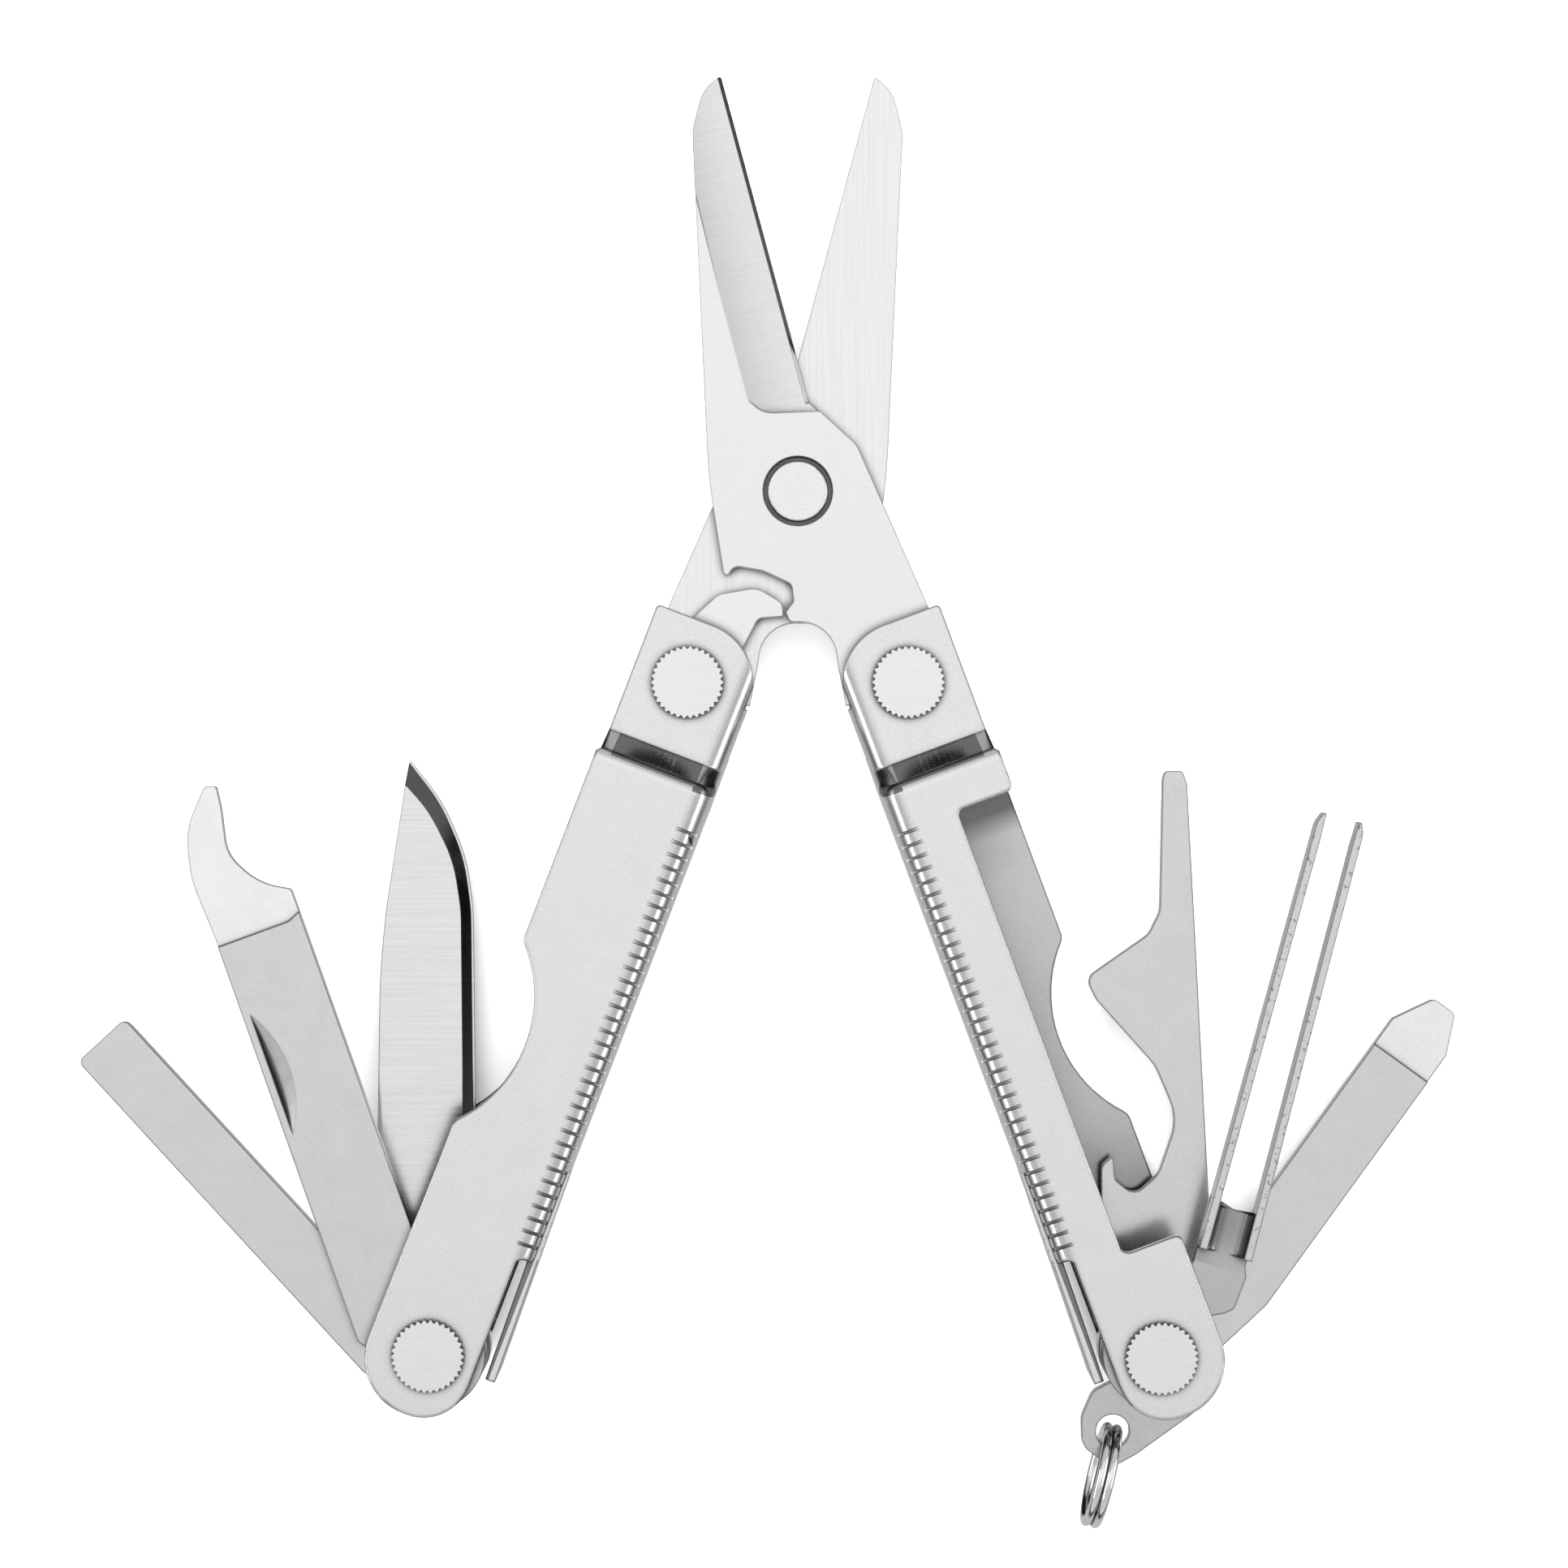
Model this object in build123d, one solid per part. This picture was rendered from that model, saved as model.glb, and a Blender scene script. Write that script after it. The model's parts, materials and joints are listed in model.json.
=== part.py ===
"""A pocket scissor multi tool with butterfly handles, lying flat and opened out.

Frame: +Z is up through the thickness, +Y runs from the handles to the scissor tips, and the
origin is under the middle of the part, at the level it rests on. Millimetres.
Everything is first built about the scissor pivot, with Z = 0 halfway through the thickness,
and is shifted to that origin at the end.
"""
from build123d import *
import math
import os

# ---------------------------------------------------------------- driving dimensions
SHEET = 0.8                 # thickness of the folded handle sheet
HANDLE_HALF = 5.2           # half the outside thickness of a handle
LUG_HALF = 2.65             # half the outside thickness where a handle narrows at its top
RIVET_HALF = 5.7            # half the thickness over the lower rivet heads
PITCH = 53.75               # lower rivet to upper rivet in a handle
OPEN_EDGE = -4.5            # open edge of a handle, from its rivet line
SPINE = 4.95                # outside of the folded spine, from the rivet line
BEND = 1.7                  # outside radius of the fold
RIM_ROUND = 0.2             # rounding of the plates' lower rims
STEP_START = 46.1           # where the step from body down to lug begins, from the lower rivet
STEP_SLOPE = 56.0           # its steepest slope, degrees
PLATE_END = 4.7             # radius of the handle's lower end
ARM_X = 8.28                # upper rivets from the scissor pivot, across
ARM_Y = 14.42               # and down
BLADE_FACE = 1.8            # outer face of a scissor blade
BLADE_GAP = 0.02            # inner face of a scissor blade
PIN = 1.4                   # rivet shank radius
BORE = 1.43                 # bore of whatever turns on a rivet
SCISSOR_PIN = 1.5           # scissor pivot shank radius
SCISSOR_BORE = 1.53
TANG = 4.2                  # radius of a tool's round tang
ARM_TANG = 3.7              # radius of a scissor arm round its upper rivet

# Directions in the plane, degrees from +X, with the tool laid out as it rests.
LEFT_UP = 69.0              # left handle, lower rivet to upper rivet
RIGHT_UP = 110.45           # right handle
FLAT_DRIVER_AT = 132.6
FILE_AT = 109.6
KNIFE_AT = 90.6
OPENER_AT = 92.9
TWEEZERS_AT = 75.0
CROSS_DRIVER_AT = 54.1
LANYARD_AT = 235.3
RING_AT = 256.3

# Layers through the thickness: (low Z, high Z).
FILE_Z = (3.12, 4.35)
FLAT_DRIVER_Z = (1.88, 3.08)
KNIFE_Z = (-3.87, -1.88)
KNIFE_EDGE_HALF = 0.5       # half thickness where the knife's edge bevel starts
OPENER_Z = (-3.06, -1.86)
CROSS_DRIVER_Z = (-4.35, -3.1)
TWEEZERS_Z = (1.9, 4.3)
TWEEZERS_SHEET = 0.6
LANYARD_Z = (0.0, 1.2)

# Pivot points in the plane, from the scissor pivot.
LEFT_UPPER = (-ARM_X, -ARM_Y)
RIGHT_UPPER = (ARM_X, -ARM_Y)


def polar(origin, radius, degrees):
    """The point a radius away from an origin, in a direction."""
    angle = math.radians(degrees)
    return (origin[0] + radius * math.cos(angle), origin[1] + radius * math.sin(angle))


LEFT_LOWER = polar(LEFT_UPPER, PITCH, LEFT_UP + 180)
RIGHT_LOWER = polar(RIGHT_UPPER, PITCH, RIGHT_UP + 180)


# ---------------------------------------------------------------- outline helpers
def outline(corners):
    """A closed face from corners (x, y) or (x, y, radius); a radius rounds the corner."""
    corners = [c if len(c) == 3 else (c[0], c[1], 0) for c in corners]
    runs = []
    for i, (x, y, radius) in enumerate(corners):
        here = Vector(x, y)
        back = (Vector(*corners[i - 1][:2]) - here).normalized()
        ahead = (Vector(*corners[(i + 1) % len(corners)][:2]) - here).normalized()
        if radius == 0:
            runs.append((here, None, here))
            continue
        half = math.radians(back.get_angle(ahead)) / 2
        reach = radius / math.tan(half)
        middle = (back + ahead).normalized()
        nearest = here + middle * (radius / math.sin(half) - radius)
        runs.append((here + back * reach, nearest, here + ahead * reach))
    edges = []
    for i, (start, nearest, finish) in enumerate(runs):
        if nearest is not None:
            edges.append(ThreePointArc(start, nearest, finish))
        following = runs[(i + 1) % len(runs)][0]
        if (following - finish).length > 1e-5:
            edges.append(Line(finish, following))
    return make_face(Wire(edges))


def slab(face, low, high):
    """A flat face of the plane, raised between two levels."""
    return extrude(Pos(0, 0, low) * face, high - low)


def ring(outer, inner, low, high):
    """A washer on the local origin."""
    return slab(Circle(outer) - Circle(inner), low, high)


def disc(radius, low, high, at=(0, 0)):
    """A round peg."""
    return Pos(at[0], at[1], 0) * slab(Circle(radius), low, high)


def tool_blank(corners, low, high, bore=BORE, tang=TANG):
    """A flat tool: its outline joined to a round tang with a bore on the local origin."""
    body = slab(outline(corners), low, high) + disc(tang, low, high)
    return body - disc(bore, low - 1, high + 1)


def ground_edge(corners, low, high, slope):
    """A tall shape whose sides lean in by slope degrees, to intersect with a blade."""
    face = Pos(0, 0, low) * outline(corners)
    return extrude(face, high - low, taper=slope)


def edge_bevel(start, finish, foot, width, height):
    """A wedge to cut away along a straight edge, with its blade to the left of the run."""
    run = Vector(*finish) - Vector(*start)
    upright = Plane(origin=(start[0], start[1], 0), x_dir=(-run.Y, run.X, 0), z_dir=(run.X, run.Y, 0))
    steep = height / width
    section = outline([(0, foot), (-3 * width, foot + 3 * width * steep), (1, foot + 3), (1, foot)])
    return extrude(upright * section, run.length)


# ---------------------------------------------------------------- placing
def on_left(shape, origin, degrees):
    """Put a shape drawn with +Y along it and +X on the spine side at a left-hand pivot."""
    return Pos(origin[0], origin[1], 0) * Rot(0, 0, degrees - 90) * shape


def on_right(shape, origin, degrees):
    """The same for a right-hand pivot, mirrored so that +X is again the spine side."""
    return on_left(mirror(shape, about=Plane.YZ), origin, degrees)


# ---------------------------------------------------------------- scissors
def scissor_arm_corners():
    """Corners round the arm's tang, then out along the shoulder that stops the handle."""
    spine_side = RIGHT_UP + 90
    corner = ARM_TANG / math.cos(math.radians(45))
    last_touch = polar(RIGHT_UPPER, ARM_TANG, 204)
    return [
        polar(RIGHT_UPPER, corner, -21) + (ARM_TANG,),
        polar(RIGHT_UPPER, corner, -111) + (ARM_TANG,),
        polar(last_touch, 0.1, 114),
        polar(RIGHT_UPPER, 4.95, spine_side),
    ]


def scissor_blade(notched):
    """The front blade, seen with its point up and its cutting edge to the right."""
    tail = [(-0.6, -9.85, 0.4), (-0.9, -9.1, 0.15), (-0.3, -8.3, 0.3), (-0.45, -7.0, 0.6),
            (-2.6, -6.0, 2), (-4.9, -5.6, 0.7), (-5.45, -7.0, 0.25)]
    if not notched:
        tail = [(-1.6, -9.9, 1), (-5.45, -7.0, 1)]
    body = [
        (-5.8, 31.45, 0.15), (0.85, 6.75, 0.5), (4.42, 3.49, 2.0), *scissor_arm_corners(),
        (3.05, -13.2, 2), (2.6, -9.8, 2.8), *tail,
        (-6.72, 0.9, 40), (-7.26, 12.5, 60), (-7.95, 27.2, 4), (-7.2, 30.3, 3),
    ]
    blade = slab(outline(body), BLADE_GAP, BLADE_FACE)
    # Hollow grind: a long round cut beside the cutting edge, ending above the pivot.
    zone = outline([(-9.0, 27.6), (-3.95, 7.0, 1.2), (-2.6, 5.85, 2), (4.0, 6.1), (-2.0, 36.0),
                    (-9.0, 36.0)])
    edge_lean = 15.0
    hollow_radius = 26.0
    grind_width = 4.45
    edge_depth = 1.25
    lean_in = math.atan2(edge_depth, grind_width)
    chord = math.hypot(grind_width, edge_depth)
    centre_up = math.sqrt(hollow_radius ** 2 - (chord / 2) ** 2)
    across = grind_width / 2 - centre_up * math.sin(lean_in)
    height = BLADE_FACE - edge_depth / 2 + centre_up * math.cos(lean_in)
    wheel = Rot(0, 0, edge_lean) * Pos(-across, 0, height) * Rot(90, 0, 0) * Cylinder(hollow_radius, 90)
    wheel = Pos(2.68, 0, 0) * wheel
    blade -= wheel & slab(zone, 0, BLADE_FACE + 1)
    blade -= edge_bevel((-5.8, 31.45), (0.85, 6.75), 0.12, 0.32, 0.55)
    blade -= disc(SCISSOR_BORE, -1, 3)
    blade -= disc(2.62, 0.95, 3)
    blade -= disc(BORE, -1, 3, RIGHT_UPPER)
    return blade


def front_scissor_blade():
    return scissor_blade(notched=True)


def rear_scissor_blade():
    """The other blade is the same stamping turned over, without the spring notch."""
    return scissor_blade(notched=False).rotate(Axis.Y, 180)


def scissor_pivot():
    """Countersunk head in each blade; the shank is snug in the front blade."""
    head_low = 0.97
    head_high = 1.72
    head = fillet(disc(2.27, head_low, head_high).edges().group_by(Axis.Z)[-1], 0.15)
    return head + disc(SCISSOR_PIN, -1, 1) + head.rotate(Axis.X, 180)


def scissor_spring_lever():
    """A bent finger on the left upper rivet whose tip sits in the front blade's notch."""
    corners = [
        (-2.6, 2.4, 1), (0.4, 4.9, 0.8), (2.3, 6.65, 1.2), (5.2, 7.15, 1.6), (7.1, 6.0, 0.8),
        (7.2, 5.0, 0.15), (5.3, 4.85, 0.6), (3.4, 1.2, 1), (0, -1),
    ]
    return tool_blank(corners, 0.0, BLADE_FACE, tang=3.55)


# ---------------------------------------------------------------- handles
def channel_section(half, inset, open_edge, along):
    """The channel cut across, at a distance along: square at its open edge, round at the spine."""
    across = Plane(origin=(0, along, 0), x_dir=(1, 0, 0), z_dir=(0, -1, 0))
    spine = SPINE - inset
    fold = BEND - inset
    return across * outline([
        (open_edge, -half), (spine, -half, fold), (spine, half, fold), (open_edge, half),
    ])


def step_profile(inset):
    """The step from body to lug seen from the side: (distance along, half thickness) points."""
    lean = math.radians(STEP_SLOPE)
    body = HANDLE_HALF - inset
    lug = LUG_HALF - inset
    start = STEP_START - 0.45 * inset
    top_round = 1.15 - 0.6 * inset
    foot_round = 0.25 + 0.6 * inset
    divisions = 6
    crest = []
    foot = []
    for i in range(divisions + 1):
        turn = lean * i / divisions
        crest.append((start + top_round * math.sin(turn), body - top_round * (1 - math.cos(turn))))
        turn = lean - turn
        foot.append((-foot_round * math.sin(turn), lug + foot_round * (1 - math.cos(turn))))
    run = (crest[-1][1] - foot[0][1]) / math.tan(lean)
    foot_at = crest[-1][0] + run - foot[0][0]
    return crest + [(foot_at + x, y) for x, y in foot]


def channel_block(inset, open_edge, low_end, high_end):
    """A solid as thick as the handle, less an inset, with the rounded step down to the lug."""
    profile = step_profile(inset)
    sections = [channel_section(half, inset, open_edge, along) for along, half in profile]
    block = extrude(sections[0], profile[0][0] - low_end)
    block += loft(sections, ruled=True)
    return block + extrude(sections[-1], profile[-1][0] - high_end)


def channel(low_end, high_end):
    """The folded U before its ends are shaped: two plates and a spine."""
    outside = channel_block(0, OPEN_EDGE - 1, low_end, high_end)
    return outside - channel_block(SHEET, OPEN_EDGE - 3, low_end - 1, high_end + 1)


def thumb_notch():
    """The round bite in a plate's open edge, to get at the tools."""
    return Pos(-11.75, 24.2) * Circle(10.2)


def plate_outline(notched, windowed=False):
    """One plate of a handle, seen flat: round lower end, square and round top corners."""
    top = PITCH + 4.7
    face = outline([
        (OPEN_EDGE - 0.2, -PLATE_END, PLATE_END - 0.3), (3.65, -PLATE_END, 3.6), (3.65, 9.15, 0.42),
        (SPINE + 1, 9.15), (SPINE + 1, 48.5), (SPINE - 0.05, 49.5), (SPINE - 0.05, top, 4.6),
        (-4.22, top, 0.35), (-4.22, 46.9), (OPEN_EDGE, 46.6), (OPEN_EDGE, 14),
    ])
    if notched:
        face -= thumb_notch()
        corners = [
            v for v in face.vertices()
            if abs(v.X - OPEN_EDGE) < 0.25 and 15 < v.Y < 33
        ]
        face = fillet(corners, 1.0)
    if windowed:
        face -= outline([(-9, 8.2), (0.0, 8.2, 0.7), (0.0, 43.5, 0.5), (-9, 43.5)])
        corners = [v for v in face.vertices() if v.X < -4 and (8 < v.Y < 8.5 or 43 < v.Y < 44)]
        face = fillet(corners, 0.55)
    return face


def ruler_grooves():
    """Short grooves across the front fold, one a millimetre."""
    depth = 0.27
    cutter_height = 0.8
    facing = 58.0
    reach = BEND - depth + cutter_height / 2
    x, z = polar((SPINE - BEND, HANDLE_HALF - BEND), reach, facing)
    grooves = []
    for i in range(34):
        groove = Rot(0, 90 - facing, 0) * Box(2.4, 0.27, cutter_height)
        grooves.append(Pos(x, 10.3 + i, z) * groove)
    return grooves


def spring_fingers():
    """Three strips of the spine, free at their lower ends and bent out a little."""
    bent = outline([
        (SPINE, 16.4), (SPINE - SHEET, 16.4), (4.58, -0.26, 0.1), (4.58 + SHEET - 0.03, -0.26, 0.1),
    ])
    fingers = []
    for low, high in ((-4.1, -1.45), (-1.15, 1.15), (1.45, 4.1)):
        fingers.append(slab(bent, low, high))
    return fingers


def handle_shell(windowed):
    """A handle: folded channel, its plates shaped front and rear, spring fingers below."""
    shell = channel(-8, PITCH + 8)
    front = slab(plate_outline(not windowed, windowed), HANDLE_HALF - SHEET - 0.7, HANDLE_HALF + 1)
    front += slab(plate_outline(False), 0, HANDLE_HALF - SHEET - 0.7)
    rear = slab(plate_outline(True), -HANDLE_HALF - 1, 0)
    shell = shell & (front + rear)
    # The spine stops at the upper rivet's level, where it meets the scissor arm's shoulder.
    shell -= Pos(0, PITCH - 0.3 + 10, 0) * Box(20, 20, 2 * (LUG_HALF - SHEET))
    # Below 16.4 the spine is only its three fingers and the folds beside the plates.
    shell -= Pos(SPINE - 0.4, 4, 0) * Box(1.2, 24.8, 8.6)
    for finger in spring_fingers():
        shell += finger
    # Room inside the lower end for the tangs to turn.
    shell -= disc(TANG + 0.12, SHEET - HANDLE_HALF, HANDLE_HALF - SHEET)
    rims = [e for e in shell.edges() if abs(abs(e.center().Z) - HANDLE_HALF) < 0.001]
    shell = fillet([e for e in rims if e.center().Y < 3], RIM_ROUND)
    for at in ((0, 0), (0, PITCH)):
        shell -= disc(PIN, -8, 8, at)
    shell -= ruler_grooves()
    return shell


def toothed_head(low, high):
    """A flat rivet head with a toothed rim, its top edge softened."""
    teeth = 34
    tips = []
    for i in range(teeth):
        tips.append(polar((0, 0), 2.78, 360 * i / teeth))
        tips.append(polar((0, 0), 2.5, 360 * (i + 0.5) / teeth))
    cap = disc(2.86, low, high)
    cap = chamfer(cap.edges().group_by(Axis.Z)[-1], 0.12)
    return slab(outline(tips), low, high) & cap


def rivet(plate_half, head_half):
    """A shank through both plates with a toothed head on each side."""
    head = toothed_head(plate_half, head_half)
    return disc(PIN, -plate_half, plate_half) + head + head.rotate(Axis.X, 180)


# ---------------------------------------------------------------- tools
def flat_screwdriver():
    low, high = FLAT_DRIVER_Z
    body = tool_blank([(-4.7, 1.5, 1), (-4.7, 33.9, 0.55), (0.05, 33.9, 0.55), (0.05, 5, 2), (3, 1)],
                      low, high)
    tip = outline([(27.5, low - 1), (35, low - 1), (35, low + 0.25), (33.9, low + 0.25)])
    upright = Plane(origin=(-8, 0, 0), x_dir=(0, 1, 0), z_dir=(1, 0, 0))
    return body - extrude(upright * tip, 12)


def nail_file():
    """A cleaning hook on a flat blade with a nail nick."""
    low, high = FILE_Z
    corners = [
        (-4.65, 2.0, 1), (-4.65, 34.4, 1), (-4.9, 39.4, 9), (-4.0, 43.0, 6), (-1.6, 45.6, 0.5),
        (-0.75, 45.3, 0.25), (-0.95, 43.6, 2), (-1.7, 40.2, 3), (-0.2, 37.4, 5), (1.95, 36.2, 0.4),
        (1.95, 6, 3), (3.4, 1.5),
    ]
    body = tool_blank(corners, low, high)
    hollow = outline([(-8, 33.95), (-4.3, 33.9, 0.5), (1.0, 33.95, 0.8), (4, 35.3), (4, 48), (-8, 48)])
    body -= slab(hollow, high - 0.3, high + 1)
    # Nail nick: a round cutter leaning away from the open edge.
    cutter_radius = 22.5
    lean = math.degrees(math.atan2(0.55, 1.45))
    cutter = Rot(0, -lean, 0) * Pos(0, 0, cutter_radius) * Rot(0, 90, 0) * Cylinder(cutter_radius, 12)
    cutter = Pos(-4.05, 23.6, high - 0.55) * cutter
    return body - (cutter & Pos(-4.05 + 3, 23.6, high) * Box(6, 14, 4))


def knife():
    """A drop-point blade: shallow grinds from the back, then a steep bevel along the edge."""
    low, high = KNIFE_Z
    middle = (low + high) / 2
    half = (high - low) / 2
    edge = [(-1.55, 44.5, 0.1), (0.95, 41.2, 13), (2.7, 37.0, 13), (3.2, 33.0, 15), (3.2, 11.0, 1)]
    corners = [(-4.25, 2, 1), (-4.2, 16.4, 60), (-3.9, 28.5, 60), (-3.4, 33.1, 30), *edge,
               (3.5, 9.5, 0.5), (3.6, 1)]
    body = tool_blank(corners, low, high)
    slope = math.degrees(math.atan2(half - KNIFE_EDGE_HALF, 6.6))
    bevel = edge + [(8, 9.0), (8, -9), (-20, -9), (-20, 34)]
    thin_edge = 0.06
    for side in (1, -1):
        wedge = Rot(0, side * slope, 0) * Pos(0, 30.5, side * 2) * Box(30, 43, 4)
        body -= Pos(-3.9, 0, middle + side * half) * wedge
    upper = ground_edge(bevel, middle + thin_edge, high + 0.2, 58)
    lower = upper.mirror(Plane.XY.offset(middle))
    rest = slab(outline(bevel), middle - thin_edge, middle + thin_edge)
    return body & (upper + lower + rest)


def bottle_opener():
    """A lever with a screwdriver tip, a cap-lifting point and a claw."""
    low, high = OPENER_Z
    corners = [
        (-4.75, 7.0, 2), (-4.7, 42.6, 0), (-4.4, 43.6, 0.4), (-3.05, 43.65, 0.4), (-2.85, 43.0, 0.5),
        (-2.15, 33.0, 2), (-1.2, 31.3, 1.5), (3.75, 28.2, 0.9), (3.0, 26.5, 0.8), (-1.2, 21.3, 4),
        (-2.7, 17.2, 4), (-1.0, 13.0, 2.5), (0.9, 11.5, 1.0), (2.3, 12.8, 0.6), (2.35, 14.6, 0.1),
        (3.3, 13.9, 0.8), (3.45, 11.0, 2), (3.6, 1.0),
    ]
    return tool_blank(corners, low, high)


def tweezers():
    """Folded from one sheet: a tang plate with two upstanding springy arms."""
    low, high = TWEEZERS_Z
    plate_top = low + TWEEZERS_SHEET
    corners = [(-4.0, 4.2, 0.3), (-4.6, 4.7, 0.4), (-4.88, 7.2, 0.25), (-4.6, 8.0, 0.2),
               (-4.75, 12.1, 0.1), (-2.7, 11.9, 0.8), (-0.7, 12.6, 0.1), (-0.7, 7.4, 0.4),
               (0.2, 5.2, 0.6), (3, 1)]
    body = tool_blank(corners, low, plate_top)
    for root_x, tip_x, side in ((-0.7, -0.95, -1), (-4.75, -4.55, 1)):
        wall = TWEEZERS_SHEET * side
        arm = outline([(root_x, 8.6), (root_x + wall, 8.6), (tip_x + wall, 40.6, 3),
                       (tip_x + wall * 0.9, 42.4, 0), (tip_x + wall * 0.55, 42.4, 0), (tip_x, 41.6, 1.5)])
        body += slab(arm, low, high)
        body += Pos(root_x + wall, 8.6, plate_top) * cove(1.1, side, 3.3)
    return body


def cove(radius, side, length):
    """A concave corner fill running along +Y, on one side of the origin."""
    corner = outline([(0, 0), (side * radius, 0), (side * radius, radius), (0, radius)])
    corner -= Pos(side * radius, radius) * Circle(radius)
    upright = Plane(origin=(0, 0, 0), x_dir=(1, 0, 0), z_dir=(0, -1, 0))
    return extrude(upright * corner, -length)


def cross_screwdriver():
    low, high = CROSS_DRIVER_Z
    corners = [(-4.1, 1.5, 1), (-5.3, 7.5, 3), (-5.3, 31.0, 0.5), (-3.95, 34.0, 0.6),
               (-2.0, 34.0, 0.6), (-0.3, 30.9, 0.5), (-0.3, 5, 2), (3, 1)]
    body = tool_blank(corners, low, high)
    ground = Pos(0, 28.5 + 10, high + 5 - 0.3) * Box(20, 20, 10)
    return body - ground


def lanyard_lever():
    """A short lever with a hole for the key ring."""
    low, high = LANYARD_Z
    corners = [(-1.2, 3.2, 0.8), (-2.3, 5.2, 1.2), (-1.9, 7.3, 1.5), (-0.6, 9.1, 1.3),
               (2.2, 9.1, 1.2), (3.1, 7.3, 1.5), (5.0, 2.0, 2), (4.1, -2.0, 1)]
    body = tool_blank(corners, low, high, tang=TANG)
    return body - disc(1.25, low - 1, high + 1, LANYARD_HOLE)


LANYARD_HOLE = (0.66, 6.83)
LANYARD_MIDDLE = sum(LANYARD_Z) / 2
HOLE_AT = polar(polar(RIGHT_LOWER, LANYARD_HOLE[1], LANYARD_AT), LANYARD_HOLE[0], LANYARD_AT + 90)
RIM_AT = polar(HOLE_AT, 1.78, RING_AT)
RING_CENTRE = polar(HOLE_AT, 3.49, RING_AT)
RING_OUTER = 4.0
RING_WIRE = 0.37            # radius of the ring's wire


def key_ring():
    """A split ring: two flat-wound turns side by side, hanging edge-on from the lever."""
    turn = Rot(90, 0, 0) * Torus(RING_OUTER - RING_WIRE, RING_WIRE)
    pair = Pos(0, 0.35, 0) * turn + Pos(0, -0.35, 0) * turn
    placed = Rot(0, 0, RING_AT) * pair
    return Pos(RING_CENTRE[0], RING_CENTRE[1], LANYARD_MIDDLE) * placed


# ---------------------------------------------------------------- the assembly
def at(point, shape):
    return Pos(point[0], point[1], 0) * shape


def build():
    """Every node by name, about the scissor pivot."""
    left = LEFT_LOWER
    right = RIGHT_LOWER
    spring = Pos(SPINE - SHEET - 0.25, 35.5, 0) * Box(0.5, 26.0, 1.6)
    return {
        "front_scissor_blade": front_scissor_blade(),
        "scissor_pivot": scissor_pivot(),
        "rear_scissor_blade": rear_scissor_blade(),
        "scissor_spring_lever": at(LEFT_UPPER, scissor_spring_lever()),
        "left_handle_shell": on_left(handle_shell(windowed=False), left, LEFT_UP),
        "right_handle_shell": on_right(handle_shell(windowed=True), right, RIGHT_UP),
        "scissor_leaf_spring": on_left(spring, left, LEFT_UP),
        "left_upper_rivet": at(LEFT_UPPER, rivet(LUG_HALF, 3.45)),
        "right_upper_rivet": at(RIGHT_UPPER, rivet(LUG_HALF, 3.45)),
        "left_lower_rivet": at(left, rivet(HANDLE_HALF, RIVET_HALF)),
        "right_lower_rivet": at(right, rivet(HANDLE_HALF, RIVET_HALF)),
        "right_upper_washer": at(RIGHT_UPPER, ring(3.4, BORE, -1.8, -0.02)),
        "left_middle_spacer": at(left, ring(3.5, BORE, -1.84, 1.84)),
        "knife_washer": at(left, ring(3.5, BORE, -4.36, -3.91)),
        "right_middle_spacer": at(right, ring(3.5, BORE, -1.82, -0.04)),
        "lanyard_washer": at(right, ring(3.5, BORE, 1.24, 1.86)),
        "tweezers_washer": at(right, ring(3.2, BORE, 2.54, 4.36)),
        "flat_screwdriver": on_left(flat_screwdriver(), left, FLAT_DRIVER_AT),
        "nail_file": on_left(nail_file(), left, FILE_AT),
        "knife": on_left(knife(), left, KNIFE_AT),
        "bottle_opener": on_right(bottle_opener(), right, OPENER_AT),
        "tweezers": on_right(tweezers(), right, TWEEZERS_AT),
        "cross_screwdriver": on_right(cross_screwdriver(), right, CROSS_DRIVER_AT),
        "lanyard_lever": on_right(lanyard_lever(), right, LANYARD_AT),
        "key_ring": key_ring(),
    }


def main():
    """Build, move the origin under the middle, and write one STEP for each node."""
    nodes = build()
    boxes = [shape.bounding_box() for shape in nodes.values()]
    middle_x = (min(b.min.X for b in boxes) + max(b.max.X for b in boxes)) / 2
    middle_y = (min(b.min.Y for b in boxes) + max(b.max.Y for b in boxes)) / 2
    shift = Pos(-middle_x, -middle_y, -min(b.min.Z for b in boxes))
    os.makedirs("parts", exist_ok=True)
    for name, shape in nodes.items():
        export_step(shift * shape, f"parts/{name}.step")
    return shift.position


if __name__ == "__main__":
    main()
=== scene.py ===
import json
import math

import bpy
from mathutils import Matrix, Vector


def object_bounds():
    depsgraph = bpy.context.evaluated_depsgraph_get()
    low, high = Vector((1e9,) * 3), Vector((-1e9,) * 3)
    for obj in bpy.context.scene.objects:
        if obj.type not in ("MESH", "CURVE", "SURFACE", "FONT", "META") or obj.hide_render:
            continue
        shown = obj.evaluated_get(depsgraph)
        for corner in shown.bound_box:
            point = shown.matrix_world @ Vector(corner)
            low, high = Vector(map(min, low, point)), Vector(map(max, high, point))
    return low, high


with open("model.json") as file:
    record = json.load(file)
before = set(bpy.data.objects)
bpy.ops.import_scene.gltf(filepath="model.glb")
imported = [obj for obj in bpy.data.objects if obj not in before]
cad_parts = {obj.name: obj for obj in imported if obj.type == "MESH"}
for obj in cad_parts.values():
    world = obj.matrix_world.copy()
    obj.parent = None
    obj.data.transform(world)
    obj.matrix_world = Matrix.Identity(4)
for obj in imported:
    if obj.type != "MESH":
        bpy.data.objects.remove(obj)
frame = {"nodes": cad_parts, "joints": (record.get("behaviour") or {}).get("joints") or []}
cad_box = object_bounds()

# A pocket scissor multi tool, laid out flat and seen from straight above. Metres.

MM = 0.001

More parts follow.
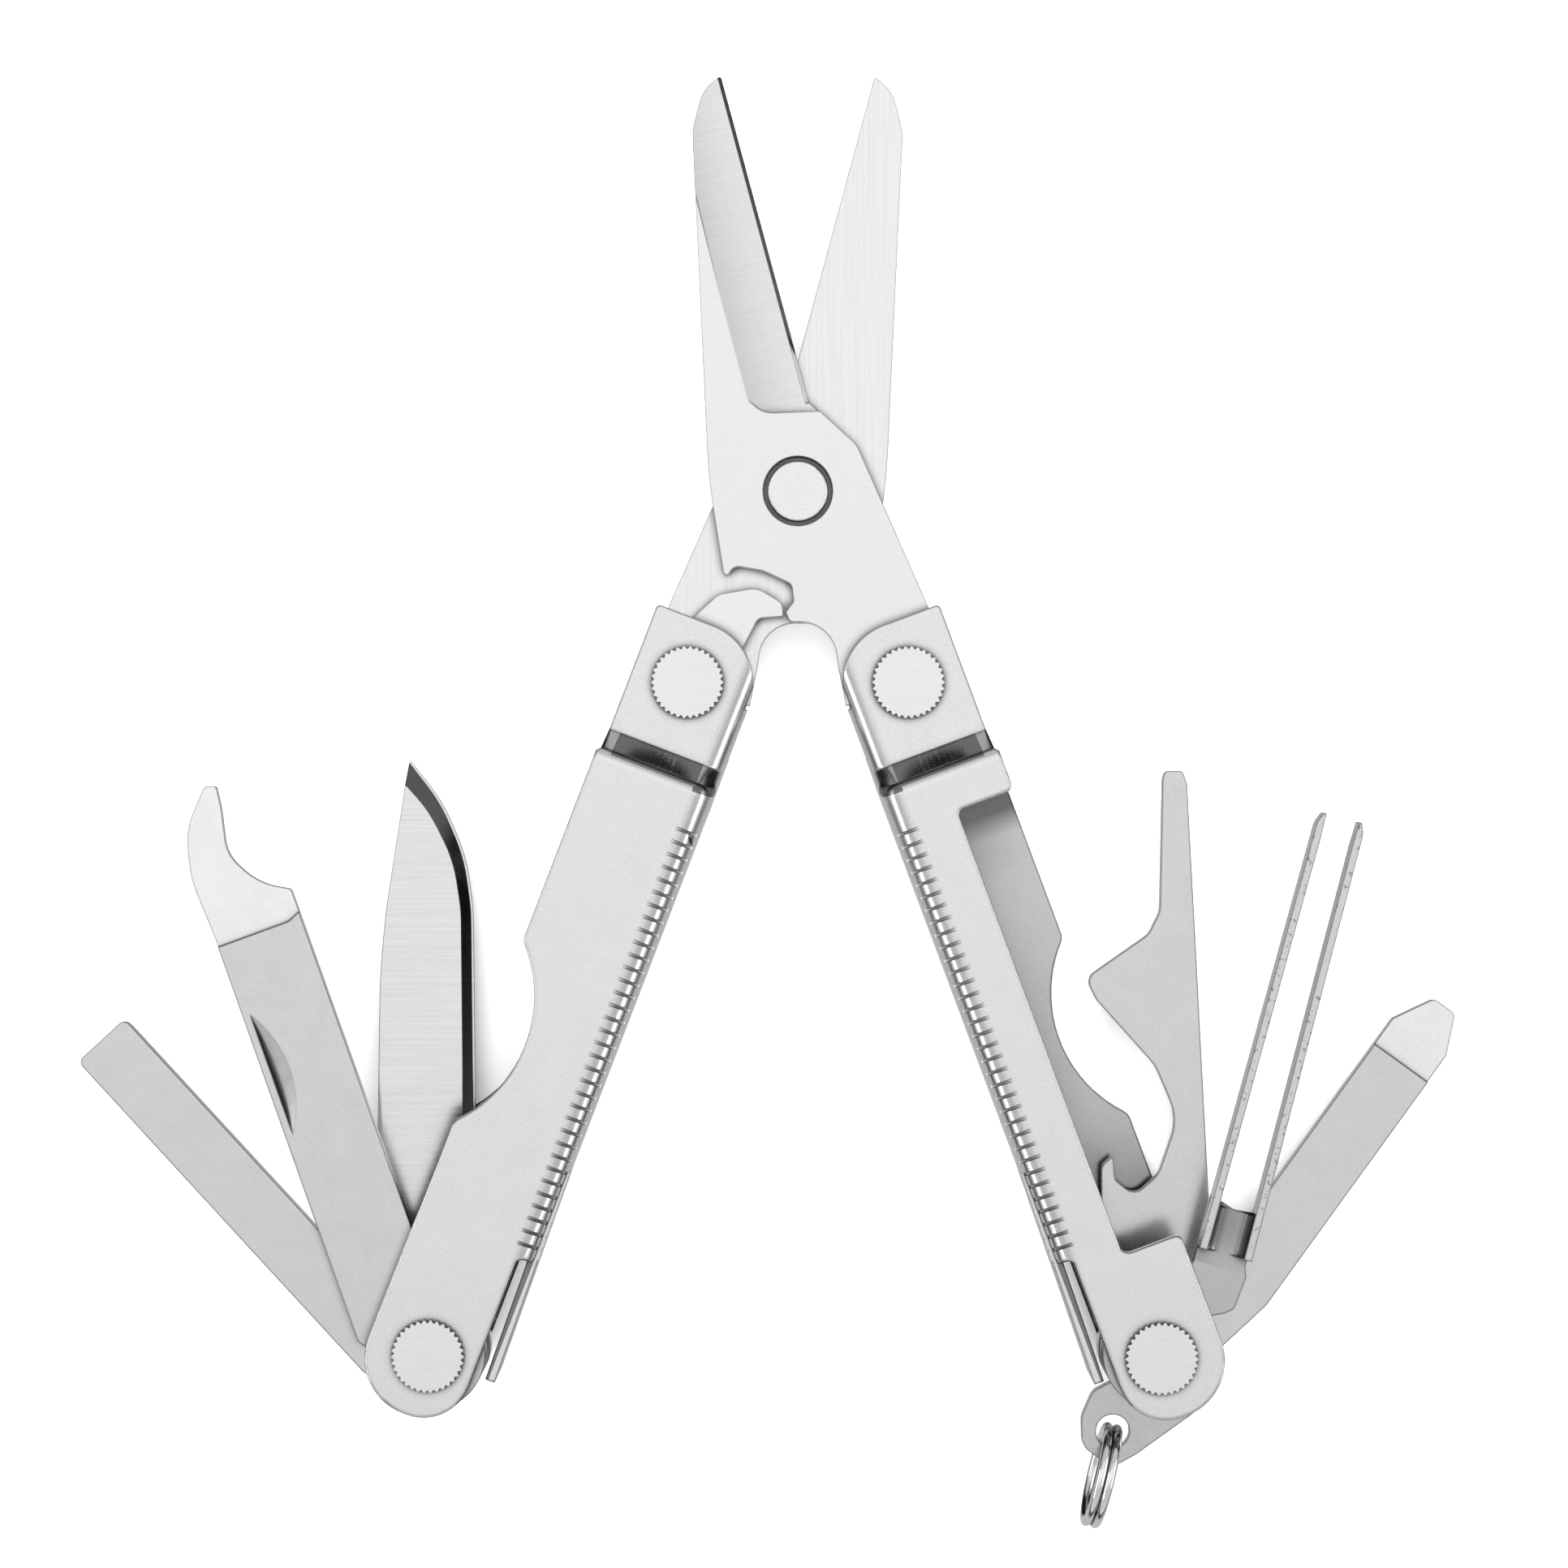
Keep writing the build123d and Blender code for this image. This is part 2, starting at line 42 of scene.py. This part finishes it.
# ---------------------------------------------------------------- what the frame says
nodes = frame["nodes"]
joints = {j["name"]: j for j in frame["joints"]}


def pivot(joint):
    """Where a joint turns, in the plane."""
    return Vector(joints[joint]["pos_m"][:2])


def heading(start, finish):
    """Direction from one point to another in the plane, radians from +X."""
    step = finish - start
    return math.atan2(step.y, step.x)


SCISSOR = pivot("scissor_pivot")
LEFT_UPPER = pivot("left_handle_fold")
RIGHT_UPPER = pivot("right_handle_fold")
LEFT_LOWER = pivot("knife_fold")
RIGHT_LOWER = pivot("tweezers_fold")
LEFT_UP = heading(LEFT_LOWER, LEFT_UPPER)
RIGHT_UP = heading(RIGHT_LOWER, RIGHT_UPPER)
MIDDLE_Z = (cad_box[0].z + cad_box[1].z) / 2

# Millimetres, up from the mid-plane or out from a handle's lower rivet.
FILE_GROUND = 4.2           # the file's ground tip lies below this level
FILE_TIP = 28               # and starts this far along
CROSS_GROUND = -3.2         # the same two for the cross-head driver
CROSS_TIP = 24
TWEEZERS_EDGE = 4.1         # level of the arms' cut edges
TWEEZERS_ROOT = 7.5         # where the arms leave the tang
SCISSOR_FACE = 1.74         # the front blade's grinding lies below this level
FOLD = (3.25, 3.5, 1.7)     # a handle's front fold: across, level and radius
RULER_DEPTH = (0.018, 0.45) # a ruler groove's floor, below the fold's surface
RULER = (9.5, 44)           # the span of the ruler along a handle
STEP = (45.6, 49.0)         # the span of the step's slope along a handle
LIP = (40.4, 42.2)          # where the shade under the window's upper end starts and is full
INNER = 2.0                 # a plate's inner face is at least this far from the mid-plane
FLAT = 0.9                  # upward part of the normal on a flat face
UPRIGHT = 0.2               # and on an upright one
CRISP = 0.03                # rounding beside the ruler's grooves
CREVICE = 0.8               # reach of the shade in crevices
LINE_SCALE = 3600.0         # fineness of the grinding lines

# Tones: reflectance of the metal, 0 to 1.
HANDLE, SCISSORS, BLADE, TOOL = 0.79, 0.84, 0.80, 0.68


def node_middle(node):
    """The middle of a node's box, in the plane."""
    corners = [nodes[node].matrix_world @ Vector(c) for c in nodes[node].bound_box]
    return Vector((sum(c.x for c in corners) / 8, sum(c.y for c in corners) / 8))


# ---------------------------------------------------------------- node helpers
class Graph:
    """A small helper for building the nodes of a material or a world."""

    def __init__(self, owner, output):
        self.owner = owner
        owner.use_nodes = True
        self.tree = owner.node_tree
        self.tree.nodes.clear()
        self.output = self.add(output)

    @classmethod
    def material(cls, name):
        return cls(bpy.data.materials.new(name), "ShaderNodeOutputMaterial")

    def add(self, kind, **settings):
        node = self.tree.nodes.new(kind)
        for key, value in settings.items():
            setattr(node, key, value)
        return node

    def link(self, source, target):
        self.tree.links.new(source, target)

    def ramp(self, factor, stops):
        """A grey ramp through stops of position and value."""
        node = self.add("ShaderNodeValToRGB")
        elements = node.color_ramp.elements
        while len(elements) < len(stops):
            elements.new(0.5)
        for element, (position, value) in zip(elements, stops):
            element.position = position
            element.color = (value, value, value, 1)
        self.link(factor, node.inputs[0])
        return node.outputs[0]

    def math(self, operation, first, second=None):
        node = self.add("ShaderNodeMath", operation=operation)
        for socket, value in zip(node.inputs, (first, second)):
            if value is None:
                continue
            if isinstance(value, (int, float)):
                socket.default_value = value
            else:
                self.link(value, socket)
        return node.outputs[0]

    def times(self, first, second):
        return self.math("MULTIPLY", first, second)

    def plus(self, first, second):
        return self.math("ADD", first, second)

    def swing(self, factor, amount):
        """A 0 to 1 factor as a change of plus or minus amount / 2."""
        return self.times(self.math("SUBTRACT", factor, 0.5), amount)

    def span(self, value, low, high):
        """1 where a value lies between two others."""
        return self.times(self.math("GREATER_THAN", value, low), self.math("LESS_THAN", value, high))

    def dot(self, first, second):
        node = self.add("ShaderNodeVectorMath", operation="DOT_PRODUCT")
        for socket, value in zip(node.inputs, (first, second)):
            if isinstance(value, Vector):
                socket.default_value = value
            else:
                self.link(value, socket)
        return node.outputs["Value"]

    def stretch(self, vector, scale):
        node = self.add("ShaderNodeVectorMath", operation="MULTIPLY")
        node.inputs[1].default_value = scale
        self.link(vector, node.inputs[0])
        return node.outputs[0]

    def mix(self, factor, first, second):
        """first where the factor is 0, second where it is 1."""
        return self.plus(self.times(self.math("SUBTRACT", second, first), factor), first)

    def part(self, vector, index):
        split = self.add("ShaderNodeSeparateXYZ")
        self.link(vector, split.inputs[0])
        return split.outputs[index]

    def facing(self):
        return self.add("ShaderNodeNewGeometry").outputs["True Normal"]

    def normal(self, index):
        return self.part(self.facing(), index)

    def openness(self, reach, samples):
        """1 where nothing stands within reach, 0 deep in a crevice."""
        node = self.add("ShaderNodeAmbientOcclusion", samples=samples)
        node.inputs["Distance"].default_value = reach * MM
        return node.outputs["AO"]

    def outward(self, plain):
        """How far a plate's face looks away from the mid-plane: negative on inner faces."""
        return self.times(self.part(plain, 2), self.normal(2))

    def place(self, origin, angle, scale):
        """Object coordinates moved to an origin, turned so +Y runs along angle, and scaled."""
        coords = self.add("ShaderNodeTexCoord")
        mapping = self.add("ShaderNodeMapping", vector_type="TEXTURE")
        mapping.inputs["Location"].default_value = (origin[0], origin[1], MIDDLE_Z)
        mapping.inputs["Rotation"].default_value = (0, 0, angle - math.pi / 2)
        self.link(coords.outputs["Object"], mapping.inputs["Vector"])
        return self.stretch(mapping.outputs["Vector"], scale)

    def noise(self, vector, scale, detail=2.0, roughness=0.5, distortion=0.0):
        node = self.add("ShaderNodeTexNoise")
        node.inputs["Scale"].default_value = scale
        node.inputs["Detail"].default_value = detail
        node.inputs["Roughness"].default_value = roughness
        node.inputs["Distortion"].default_value = distortion
        self.link(vector, node.inputs["Vector"])
        return node.outputs["Fac"]


def steel(name, tone, rough, origin=(0, 0), angle=math.pi / 2, lines=0.0, mottle=0.06, grain=0.05,
          line_angle=0.0, edge=0.14, line_rough=0.0, masks=(), ground=None, sharp=None):
    """Stainless steel: cloudy tone, fine tumbled grain, and grinding lines at line_angle.

    A mask is a function that makes a 0 to 1 factor in the graph: each of masks comes with the
    tone it leads to, ground is where the grinding lines are, and sharp is where edges stay crisp.
    """
    g = Graph.material(name)
    shader = g.add("ShaderNodeBsdfPrincipled")
    shader.inputs["Metallic"].default_value = 1.0
    g.link(shader.outputs[0], g.output.inputs["Surface"])
    plain = g.place(origin, angle, (1, 1, 1))
    cloud = g.noise(plain, 420.0, 4.0, 0.65, 0.3)
    speck = g.noise(plain, 5200.0, 2.0, 0.7)
    ruled = g.place(origin, angle + line_angle, (0.02, 1.0, 0.02))
    streak = g.noise(ruled, LINE_SCALE, 4.0, 0.75)
    if ground:
        streak = g.mix(ground(g, plain), 0.5, streak)

    # Colour: the tone, lightly mottled, with painted shade in crevices and where an edge turns away.
    mottling = g.plus(g.swing(cloud, mottle * 2), g.swing(speck, grain * 2))
    mottling = g.plus(mottling, g.swing(streak, lines * 2))
    shade = tone
    for mask, other in masks:
        shade = g.mix(mask(g, plain), shade, other)
    value = g.times(g.plus(mottling, 1.0), shade)
    # Painted shade: the colour darkens where other surfaces stand within CREVICE, in crevices and
    # between parts.
    crevice = g.ramp(g.openness(CREVICE, 6), ((0.0, 0.02), (0.48, 0.20), (0.70, 0.76), (0.88, 1.0)))
    value = g.times(value, crevice)
    round_edge = g.add("ShaderNodeBevel", samples=6)
    round_edge.inputs["Radius"].default_value = edge * MM
    if sharp:
        g.link(g.mix(sharp(g, plain), edge * MM, CRISP * MM), round_edge.inputs["Radius"])
    # Painted shade: the colour darkens where the rounded edge's normal turns away from the face.
    turn = g.dot(round_edge.outputs[0], g.facing())
    value = g.times(value, g.ramp(turn, ((0.70, 0.10), (0.93, 0.34), (0.992, 1.0))))
    colour = g.add("ShaderNodeCombineColor")
    g.link(value, colour.inputs[0])
    g.link(value, colour.inputs[1])
    g.link(g.times(value, 0.995), colour.inputs[2])
    g.link(colour.outputs[0], shader.inputs["Base Color"])

    uneven = g.plus(g.swing(cloud, 0.10), g.swing(streak, line_rough))
    g.link(g.plus(uneven, rough), shader.inputs["Roughness"])

    bump = g.add("ShaderNodeBump")
    bump.inputs["Strength"].default_value = 0.12
    bump.inputs["Distance"].default_value = 0.01 * MM
    g.link(g.plus(g.times(speck, grain * 4), g.times(streak, lines * 6)), bump.inputs["Height"])
    g.link(round_edge.outputs[0], bump.inputs["Normal"])
    g.link(bump.outputs[0], shader.inputs["Normal"])
    return g.owner


# ---------------------------------------------------------------- masks
def inner_face(g, plain):
    """1 on the upward inner face of a handle's rear plate."""
    inward = g.math("LESS_THAN", g.outward(plain), -INNER * MM)
    return g.times(inward, g.math("GREATER_THAN", g.normal(2), 0.0))


# Used to place painted shade deep in nooks.
def nook(reach, stops):
    """1 deep in a nook whose walls are within reach, following stops of openness."""
    return lambda g, plain: g.ramp(g.openness(reach, 8), stops)


# Painted shade: this mask darkens the floors and walls of the ruler's grooves.
def ruler_groove_shade(side):
    """A mask for the ruler's grooves, which cut into the fold below its round surface."""
    def mask(g, plain):
        across = g.math("SUBTRACT", g.times(g.part(plain, 0), side), FOLD[0] * MM)
        rise = g.math("SUBTRACT", g.part(plain, 2), FOLD[1] * MM)
        radius = g.math("SQRT", g.plus(g.times(across, across), g.times(rise, rise)))
        shallow, deep = RULER_DEPTH
        floor_of_groove = g.span(radius, (FOLD[2] - deep) * MM, (FOLD[2] - shallow) * MM)
        corner = g.times(g.math("GREATER_THAN", across, 0.0), g.math("GREATER_THAN", rise, 0.0))
        return g.times(floor_of_groove, corner)
    return mask


def ruler_strip(side):
    """A mask for the front fold, all along beside the ruler's grooves."""
    def mask(g, plain):
        across = g.math("GREATER_THAN", g.times(g.part(plain, 0), side), FOLD[0] * MM)
        rise = g.math("GREATER_THAN", g.part(plain, 2), FOLD[1] * MM)
        length = g.span(g.part(plain, 1), RULER[0] * MM, RULER[1] * MM)
        return g.times(g.times(across, rise), length)
    return mask


def above(level):
    """A mask for what lies above a level."""
    return lambda g, plain: g.math("GREATER_THAN", g.part(plain, 2), level * MM)


def below(level):
    """A mask for what lies below a level."""
    return lambda g, plain: g.math("LESS_THAN", g.part(plain, 2), level * MM)


def beyond(along):
    """A mask for what lies further along the tool."""
    return lambda g, plain: g.math("GREATER_THAN", g.part(plain, 1), along * MM)


def both(first, second):
    return lambda g, plain: g.times(first(g, plain), second(g, plain))


def upward(g, plain):
    """1 on flat faces that look up."""
    return g.math("GREATER_THAN", g.normal(2), FLAT)


def steep(g, plain):
    """1 on an edge bevel, which leans well away from the flat."""
    return g.span(g.math("ABSOLUTE", g.normal(2)), UPRIGHT, FLAT)


# Painted dark reflection: this mask darkens the step's slope as if it mirrored dark surroundings.
def step_slope_shade(g, plain):
    """1 on the slope of the step between a handle's raised plate and its neck."""
    length = g.span(g.part(plain, 1), STEP[0] * MM, STEP[1] * MM)
    inward = g.math("LESS_THAN", g.math("ABSOLUTE", g.part(plain, 0)), (FOLD[0] + 0.1) * MM)
    return g.times(g.times(length, inward), steep(g, plain))


# Painted shadow: this mask darkens the rear plate under the upper end of the front plate's window.
def under_lip_shade(g, plain):
    """1 under the upper end of the front plate's window, fading down the handle."""
    along = g.math("DIVIDE", g.part(plain, 1), LIP[1] * MM)
    return g.ramp(along, ((LIP[0] / LIP[1], 0.0), (1.0, 1.0)))


def cut_edge(g, plain):
    """Dark flecks torn by the shears."""
    fleck = g.noise(plain, 2600.0, 3.0, 0.6)
    return g.ramp(fleck, ((0.0, 0.0), (0.58, 0.0), (0.66, 1.0), (1.0, 1.0)))


def give(node, material):
    """The material on every slot of a CAD node."""
    mesh = nodes[node].data
    mesh.materials.clear()
    mesh.materials.append(material)
    for polygon in mesh.polygons:
        polygon.material_index = 0


# ---------------------------------------------------------------- finishes
def paint():
    up = math.pi / 2
    # Painted shade inside a handle: the rear plate's inner face is darkened, more so deep in the
    # channel and under the window's upper end.
    deep = nook(12, ((0.30, 1.0), (0.48, 0.8), (0.62, 0.25), (0.80, 0.0)))
    inside_shade = ((inner_face, 0.60), (both(inner_face, deep), 0.30), (both(inner_face, under_lip_shade), 0.16))
    # Painted shade for the tweezers' channel between the arms.
    between = nook(3, ((0.35, 1.0), (0.60, 0.7), (0.80, 0.25), (0.95, 0.0)))
    for name, side, origin, angle in (("left", 1, LEFT_LOWER, LEFT_UP),
                                      ("right", -1, RIGHT_LOWER, RIGHT_UP)):
        # Painted shade and painted dark reflection on the handle: inside the channel, in the ruler's
        # grooves and on the step's slope.
        handle_shades = inside_shade + ((ruler_groove_shade(side), 0.22), (step_slope_shade, 0.30))
        give(name + "_handle_shell", steel("handle_" + name, HANDLE, 0.17, origin, angle, mottle=0.06,
                                           grain=0.12, edge=0.28, masks=handle_shades, sharp=ruler_strip(side)))
    lean = math.radians(15)     # the front blade's cutting edge leans this far from upright
    # Painted dark reflection on the front blade's steep edge bevel.
    give("front_scissor_blade", steel("front_blade", SCISSORS, 0.17, SCISSOR, up + lean, lines=0.10,
                                      mottle=0.03, grain=0.05, line_rough=0.08,
                                      ground=both(below(SCISSOR_FACE), upward),
                                      masks=((steep, 0.55),)))
    give("rear_scissor_blade", steel("rear_blade", SCISSORS, 0.18, SCISSOR, up, lines=0.16, mottle=0.03,
                                     grain=0.03, line_angle=math.pi / 2, line_rough=0.08))
    # Painted dark reflection on the knife's steep edge bevel.
    give("knife", steel("knife_blade", BLADE, 0.17, LEFT_LOWER, up, lines=0.18, mottle=0.03, grain=0.03,
                        line_rough=0.08, masks=((steep, 0.16),)))
    file_tip = both(both(below(FILE_GROUND), upward), beyond(FILE_TIP))
    cross_tip = both(both(below(CROSS_GROUND), upward), beyond(CROSS_TIP))
    arms = both(above(TWEEZERS_EDGE), cut_edge)
    # Painted shade in the tweezers' channel, below the arms' edges and past their root.
    hollow_shade = both(below(TWEEZERS_EDGE), both(beyond(TWEEZERS_ROOT), between))
    for node, tone, masks in (
            # Painted shade on the nail file's nick and other steep bevels.
            ("nail_file", TOOL, ((file_tip, 0.90), (steep, 0.40))),
            ("cross_screwdriver", TOOL, ((cross_tip, 0.88),)),
            ("tweezers", TOOL, ((below(TWEEZERS_EDGE), 0.54), (arms, 0.32), (hollow_shade, 0.18))),
            ("flat_screwdriver", TOOL, ()), ("bottle_opener", TOOL, ()), ("lanyard_lever", 0.58, ())):
        centre = pivot(node + "_fold")
        give(node, steel(node + "_steel", tone, 0.19, centre, heading(centre, node_middle(node)),
                         mottle=0.09, grain=0.08, edge=0.2, masks=masks))
    give("scissor_spring_lever", steel("lever_steel", 0.86, 0.18, mottle=0.04, grain=0.05))
    give("scissor_leaf_spring", steel("leaf_steel", 0.74, 0.2, mottle=0.06, grain=0.05))
    rivet = steel("rivet_head", 0.85, 0.2, mottle=0.04, grain=0.04, lines=0.05, edge=0.08)
    blasted = steel("blasted_head", 0.92, 0.34, mottle=0.05, grain=0.16, edge=0.1)
    washer = steel("washer_steel", 0.55, 0.35, mottle=0.05, grain=0.05)
    for node in nodes:
        if node.endswith("rivet"):
            give(node, rivet)
        elif node.endswith(("washer", "spacer")):
            give(node, washer)
    give("scissor_pivot", blasted)
    give("key_ring", steel("ring_wire", 0.90, 0.10, mottle=0.04, grain=0.03))


# ---------------------------------------------------------------- studio
def floor():
    """A sheet of white paper under the part; the metal doesn't mirror it."""
    g = Graph.material("floor_paper")
    shader = g.add("ShaderNodeBsdfPrincipled")
    shader.inputs["Base Color"].default_value = (0.93, 0.93, 0.93, 1)
    shader.inputs["Roughness"].default_value = 0.9
    shader.inputs["Specular IOR Level"].default_value = 0.1
    g.link(shader.outputs[0], g.output.inputs["Surface"])
    half = 1.2
    mesh = bpy.data.meshes.new("floor")
    mesh.from_pydata([(-half, -half, 0), (half, -half, 0), (half, half, 0), (-half, half, 0)], [],
                     [(0, 1, 2, 3)])
    mesh.materials.append(g.owner)
    sheet = bpy.data.objects.new("floor", mesh)
    sheet.location.z = cad_box[0].z
    bpy.context.scene.collection.objects.link(sheet)
    sheet.visible_glossy = False


def area_light(name, place, aim, size, watts, mirrored=True):
    """A soft box; one that isn't mirrored only lights the floor."""
    data = bpy.data.lights.new(name, "AREA")
    data.shape = "RECTANGLE"
    data.size, data.size_y = size
    data.energy = watts
    light = bpy.data.objects.new(name, data)
    light.location = place
    light.rotation_mode = "QUATERNION"
    light.rotation_quaternion = (Vector(aim) - Vector(place)).to_track_quat("-Z", "Y")
    light.visible_glossy = mirrored
    bpy.context.scene.collection.objects.link(light)


def sky():
    """A studio: bright overhead, grey round the sides, and a low dark card beyond the scissors."""
    world = bpy.data.worlds.new("studio")
    bpy.context.scene.world = world
    g = Graph(world, "ShaderNodeOutputWorld")
    sight = g.add("ShaderNodeTexCoord").outputs["Generated"]
    # The overhead soft box is wider than it is deep.
    unit = g.add("ShaderNodeVectorMath", operation="NORMALIZE")
    g.link(g.stretch(sight, (0.55, 1.0, 1.0)), unit.inputs[0])
    upwards = g.dot(unit.outputs[0], Vector((-0.03, 0.20, 1.0)).normalized())
    overhead = g.ramp(upwards, ((0.0, 0.66), (0.60, 0.60), (0.84, 0.54), (0.95, 0.88), (1.0, 1.04)))
    ahead = g.ramp(g.dot(sight, Vector((0.0, 1.0, 0.0))), ((0.10, 0.0), (0.42, 0.98)))
    height = g.part(sight, 2)
    low = g.ramp(height, ((0.12, 1.0), (0.30, 0.0)))
    card = g.math("SUBTRACT", 1.0, g.times(ahead, low))
    # A dark band round the horizon draws the outlines of rounded edges.
    raised = g.plus(g.times(height, 0.5), 0.5)
    skirt = g.ramp(raised, ((0.0, 0.8), (0.36, 0.8), (0.45, 0.12), (0.53, 0.12), (0.58, 1.0)))
    background = g.add("ShaderNodeBackground")
    background.inputs["Strength"].default_value = 1.0
    g.link(g.times(overhead, g.times(card, skirt)), background.inputs["Color"])
    g.link(background.outputs[0], g.output.inputs["Surface"])


def camera():
    """Straight above the middle of the layout, far enough back to look flat."""
    distance = 340 * MM
    frame_width = 118.5 * MM
    offset = Vector((-1.04, -22.03)) * MM
    data = bpy.data.cameras.new("camera")
    data.sensor_width = 36
    data.lens = data.sensor_width * distance / frame_width
    data.clip_start = 10 * MM
    data.clip_end = 10000 * MM
    eye = bpy.data.objects.new("camera", data)
    eye.location = (SCISSOR.x + offset.x, SCISSOR.y + offset.y, MIDDLE_Z + distance)
    bpy.context.scene.collection.objects.link(eye)
    bpy.context.scene.camera = eye


camera()
paint()
floor()
sky()
area_light("paper", (0, 0, 0.9), (0, 0, 0), (1.2, 1.2), 12.0, mirrored=False)
for name, x, y in (("paper_left", -0.8, 0), ("paper_right", 0.8, 0), ("paper_near", 0, -0.8),
                   ("paper_far", 0, 0.8)):
    area_light(name, (x, y, 0.6), (0, 0, 0), (0.5, 0.5), 5.0, mirrored=False)
for name, side in (("strip_left", -1), ("strip_right", 1)):
    area_light(name, (side * 0.80, -0.05, 0.42), (0, 0, 0), (0.8, 0.22), 1.2)
view_settings = bpy.context.scene.view_settings
view_settings.view_transform = "Standard"
view_settings.exposure = 0.0
